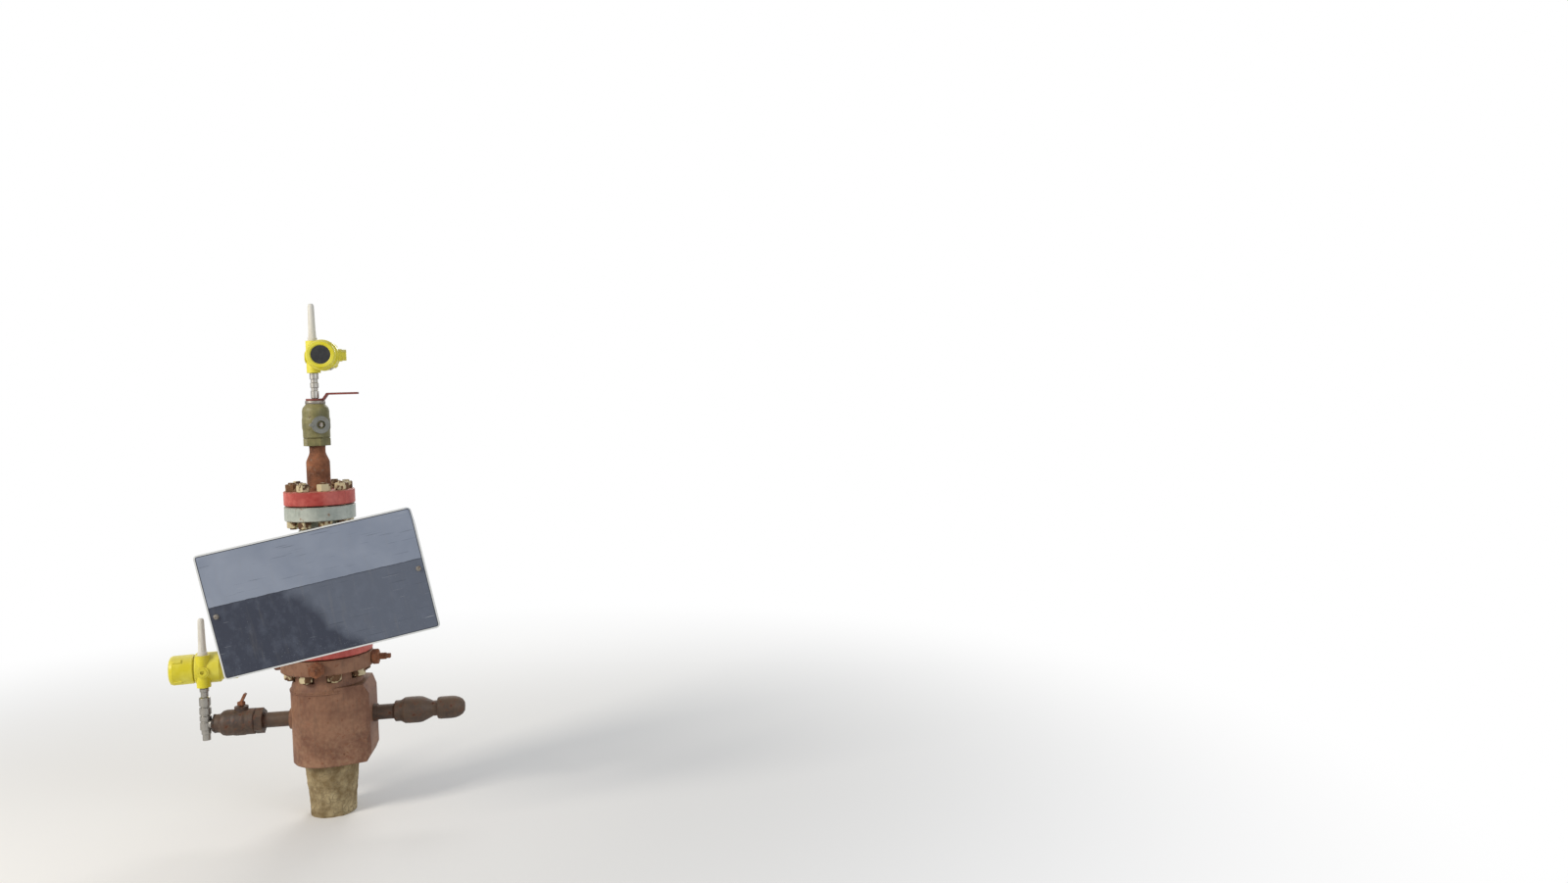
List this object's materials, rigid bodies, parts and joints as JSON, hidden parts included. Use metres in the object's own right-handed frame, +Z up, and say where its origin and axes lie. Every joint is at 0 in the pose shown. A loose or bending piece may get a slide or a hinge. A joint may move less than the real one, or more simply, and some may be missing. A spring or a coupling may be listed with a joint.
{
  "type": "oil wellhead valve stack",
  "caption": "Closed-in oil wellhead: casing head with side valves, flanged master valve, swage, small ball valve, wireless pressure gauges and a slipped well sign.",
  "frame": {"origin": "middle of the surface casing where it leaves the ground", "axes": "+Z up the well, +X along the right-hand side outlet, -Y the front, where the sign hangs"},
  "size_m": [1.1362, 0.762, 2.0479],
  "materials": {
    "casing_steel": "weathered pipe, rusted",
    "caked_mud": "dry caked mud and cement",
    "oxide_paint": "weathered red-oxide paint",
    "red_paint": "faded red paint",
    "wheel_paint": "worn red paint",
    "grey_paint": "faded grey-green paint",
    "olive_paint": "faded olive paint, chipped",
    "yellow_paint": "glossy yellow paint",
    "brown_pipe": "dark rusted paint",
    "rusted_steel": "rusted",
    "stud_steel": "rusted with old paint",
    "ring_steel": "plain",
    "bare_steel": "worn",
    "plate_steel": "worn grey-green paint",
    "bushing_iron": "dark",
    "lever_paint": "painted",
    "stainless": "satin stainless",
    "dark_glass": "dark display window",
    "antenna_plastic": "matt white",
    "sign_sheet": "printed sheet, scratched"
  },
  "bodies": {
    "stack": {"surface_casing": "casing_steel", "caked_mud": "caked_mud", "casing_head": "oxide_paint", "lock_screws": "rusted_steel", "lower_studs": "stud_steel", "ring_gaskets": "ring_steel", "adapter": "red_paint", "middle_studs": "stud_steel", "master_valve_body": "grey_paint", "master_valve_bonnet": "grey_paint", "bonnet_studs": "stud_steel", "master_valve_yoke": "grey_paint", "master_valve_stem": "bare_steel", "handwheel": "wheel_paint", "top_flange": "red_paint", "upper_studs": "stud_steel", "swage": "rusted_steel", "top_valve_end": "olive_paint", "top_valve_body": "olive_paint", "top_valve_plate": "plate_steel", "top_valve_lever": "lever_paint", "gauge_bushings": "bushing_iron", "top_gauge_stem": "stainless", "top_gauge_housing": "yellow_paint", "top_gauge_front": "yellow_paint", "top_gauge_glass": "dark_glass", "top_gauge_back": "yellow_paint", "top_gauge_antenna": "antenna_plastic", "left_nipple": "brown_pipe", "left_valve_end": "brown_pipe", "left_valve_body": "brown_pipe", "left_column": "stainless", "left_gauge_housing": "yellow_paint", "left_gauge_front": "yellow_paint", "left_gauge_glass": "dark_glass", "left_gauge_back": "yellow_paint", "left_gauge_antenna": "antenna_plastic", "right_nipple": "brown_pipe", "right_valve": "brown_pipe", "right_bull_plug": "brown_pipe", "sign_strap": "rusted_steel", "sign_panel": "sign_sheet", "sign_bolts": "bare_steel"},
    "top_valve_stem": {"top_valve_stem": "bare_steel"},
    "left_valve_stem": {"left_valve_stem": "rusted_steel"}
  },
  "joints": [
    {"name": "top_valve_turn", "type": "hinge", "parent": "stack", "child": "top_valve_stem", "pos_m": [0, 0, 1.5669], "axis": [0.4695, -0.8829, 0], "range_deg": [0, 90]},
    {"name": "left_valve_turn", "type": "hinge", "parent": "stack", "child": "left_valve_stem", "pos_m": [-0.334, 0, 0.389], "axis": [0, 0, 1], "range_deg": [0, 90]}
  ]
}
